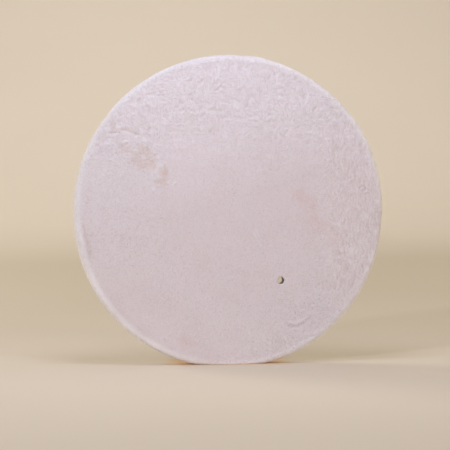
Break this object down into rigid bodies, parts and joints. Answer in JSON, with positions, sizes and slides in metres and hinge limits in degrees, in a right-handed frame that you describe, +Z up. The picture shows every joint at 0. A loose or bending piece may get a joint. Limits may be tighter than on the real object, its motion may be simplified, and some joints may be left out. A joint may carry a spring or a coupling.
{
  "type": "felt polishing wheel",
  "caption": "Flat-faced round polishing wheel: white felt stretched over a hardboard disc, with a flanged hub bolted to its back for a spindle and a small pin hole through its face.",
  "frame": {"origin": "on the wheel's axis, at the rear end of the hub, where the wheel seats against the spindle's shoulder", "axes": "+Y along the wheel's axis from the polishing face towards the rear, +Z up with the wheel standing on its edge, +X to the right seen from the front"},
  "size_m": [0.2032, 0.0384, 0.2032],
  "materials": {
    "felt": "matted wool, off-white with a pink cast",
    "hardboard": "pressed fibreboard, dark brown",
    "cast_hub": "cast, with turned faces",
    "zinc_steel": "zinc plated",
    "spring_steel": "plain spring steel",
    "black_steel": "black oxide"
  },
  "bodies": {
    "root": {"felt_cover": "felt", "core_disc": "hardboard", "hub_flange": "cast_hub", "screw_1": "zinc_steel", "lock_washer_1": "spring_steel", "nut_1": "zinc_steel", "screw_2": "zinc_steel", "lock_washer_2": "spring_steel", "nut_2": "zinc_steel", "screw_3": "zinc_steel", "lock_washer_3": "spring_steel", "nut_3": "zinc_steel", "screw_4": "zinc_steel", "lock_washer_4": "spring_steel", "nut_4": "zinc_steel", "screw_5": "zinc_steel", "lock_washer_5": "spring_steel", "nut_5": "zinc_steel", "screw_6": "zinc_steel", "lock_washer_6": "spring_steel", "nut_6": "zinc_steel", "set_screw_1": "black_steel", "set_screw_2": "black_steel"}
  },
  "joints": []
}
